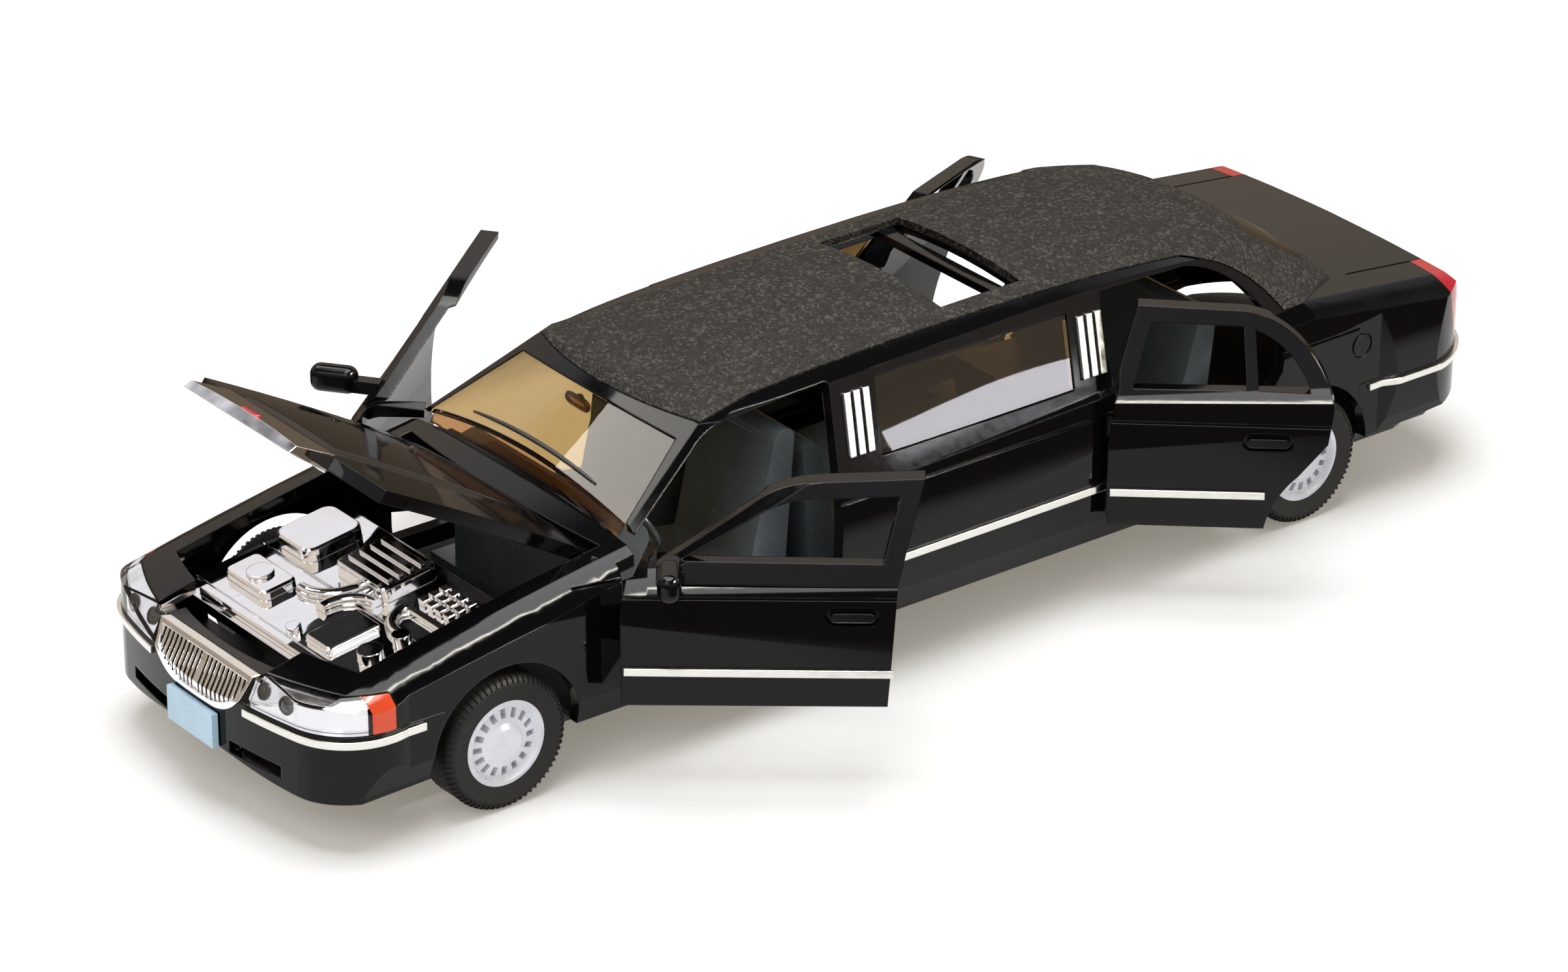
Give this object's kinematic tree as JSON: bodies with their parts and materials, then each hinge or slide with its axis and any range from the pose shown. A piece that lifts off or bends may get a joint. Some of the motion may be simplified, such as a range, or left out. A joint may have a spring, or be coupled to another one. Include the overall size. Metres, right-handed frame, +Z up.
{
  "type": "die-cast toy stretch limousine",
  "caption": "Die-cast toy stretch limousine with opening doors and bonnet, open sunroof, moulded cabin, plated engine bay insert and wheels that turn on through axles.",
  "frame": {"origin": "on the ground at mid length, on the symmetry plane", "axes": "+X to the nose, +Y to the car's left, +Z up"},
  "size_m": [0.1768, 0.0934, 0.0451],
  "materials": {
    "black_paint": "gloss black enamel on die-cast metal",
    "roof_grain": "black with a pebbled leather-like grain",
    "chrome": "vacuum-plated bright chrome on plastic",
    "trim_silver": "bright silver foil",
    "amber_glass": "amber tinted clear plastic",
    "clear_lens": "clear plastic",
    "orange_lens": "painted orange",
    "red_lens": "painted red",
    "grey_plastic": "satin grey moulded plastic",
    "silver_plastic": "satin silver-grey moulded plastic",
    "tyre": "matt black rubber",
    "black_plastic": "satin black moulded plastic",
    "steel": "bright steel rod",
    "plate": "pale blue sticker, blank"
  },
  "bodies": {
    "body": {"body_shell": "black_paint", "roof_cover": "roof_grain", "sunroof_bar": "black_paint", "windscreen": "amber_glass", "rear_window": "amber_glass", "side_window_left": "amber_glass", "side_window_right": "amber_glass", "grille": "chrome", "grille_backing": "black_plastic", "headlamp_lenses": "clear_lens", "signal_lenses": "orange_lens", "headlamp_reflectors": "chrome", "tail_lamps": "red_lens", "front_bumper": "black_paint", "rear_bumper": "black_paint", "front_bumper_strips": "trim_silver", "rear_bumper_strip": "trim_silver", "side_strips": "trim_silver", "number_plate": "plate", "pillar_bars": "trim_silver", "cabin_floor": "grey_plastic", "front_seats": "grey_plastic", "middle_bench": "grey_plastic", "rear_bench": "grey_plastic", "dashboard": "grey_plastic", "steering_wheel": "grey_plastic", "engine_insert": "chrome", "chassis": "black_plastic"},
    "door_front_left": {"door_front_left": "black_paint", "door_front_strip_left": "trim_silver"},
    "door_front_right": {"door_front_right": "black_paint", "door_front_strip_right": "trim_silver"},
    "door_rear_left": {"door_rear_left": "black_paint", "door_rear_strip_left": "trim_silver"},
    "door_rear_right": {"door_rear_right": "black_paint", "door_rear_strip_right": "trim_silver"},
    "bonnet": {"bonnet": "black_paint", "bonnet_header": "chrome"},
    "front_axle_set": {"front_axle": "steel", "front_wheel_left": "silver_plastic", "front_tyre_left": "tyre", "front_wheel_right": "silver_plastic", "front_tyre_right": "tyre"},
    "rear_axle_set": {"rear_axle": "steel", "rear_wheel_left": "silver_plastic", "rear_tyre_left": "tyre", "rear_wheel_right": "silver_plastic", "rear_tyre_right": "tyre"}
  },
  "joints": [
    {"name": "door_front_left_hinge", "type": "hinge", "parent": "body", "child": "door_front_left", "pos_m": [0.05232, 0.02125, 0.018], "axis": [0, 0, -1], "range_deg": [-38, 17]},
    {"name": "door_front_right_hinge", "type": "hinge", "parent": "body", "child": "door_front_right", "pos_m": [0.05232, -0.02125, 0.018], "axis": [0, 0, 1], "range_deg": [-38, 17]},
    {"name": "door_rear_left_hinge", "type": "hinge", "parent": "body", "child": "door_rear_left", "pos_m": [-0.02278, 0.02125, 0.018], "axis": [0, 0, -1], "range_deg": [-40.8, 14]},
    {"name": "door_rear_right_hinge", "type": "hinge", "parent": "body", "child": "door_rear_right", "pos_m": [-0.02278, -0.02125, 0.018], "axis": [0, 0, 1], "range_deg": [-24, 31]},
    {"name": "bonnet_hinge", "type": "hinge", "parent": "body", "child": "bonnet", "pos_m": [0.0472, 0, 0.0246], "axis": [0, -1, 0], "range_deg": [-40, 5]},
    {"name": "front_axle_spin", "type": "hinge", "parent": "body", "child": "front_axle_set", "pos_m": [0.062, 0, 0.0081], "axis": [0, 1, 0], "continuous": true},
    {"name": "rear_axle_spin", "type": "hinge", "parent": "body", "child": "rear_axle_set", "pos_m": [-0.0568, 0, 0.0081], "axis": [0, 1, 0], "continuous": true}
  ]
}
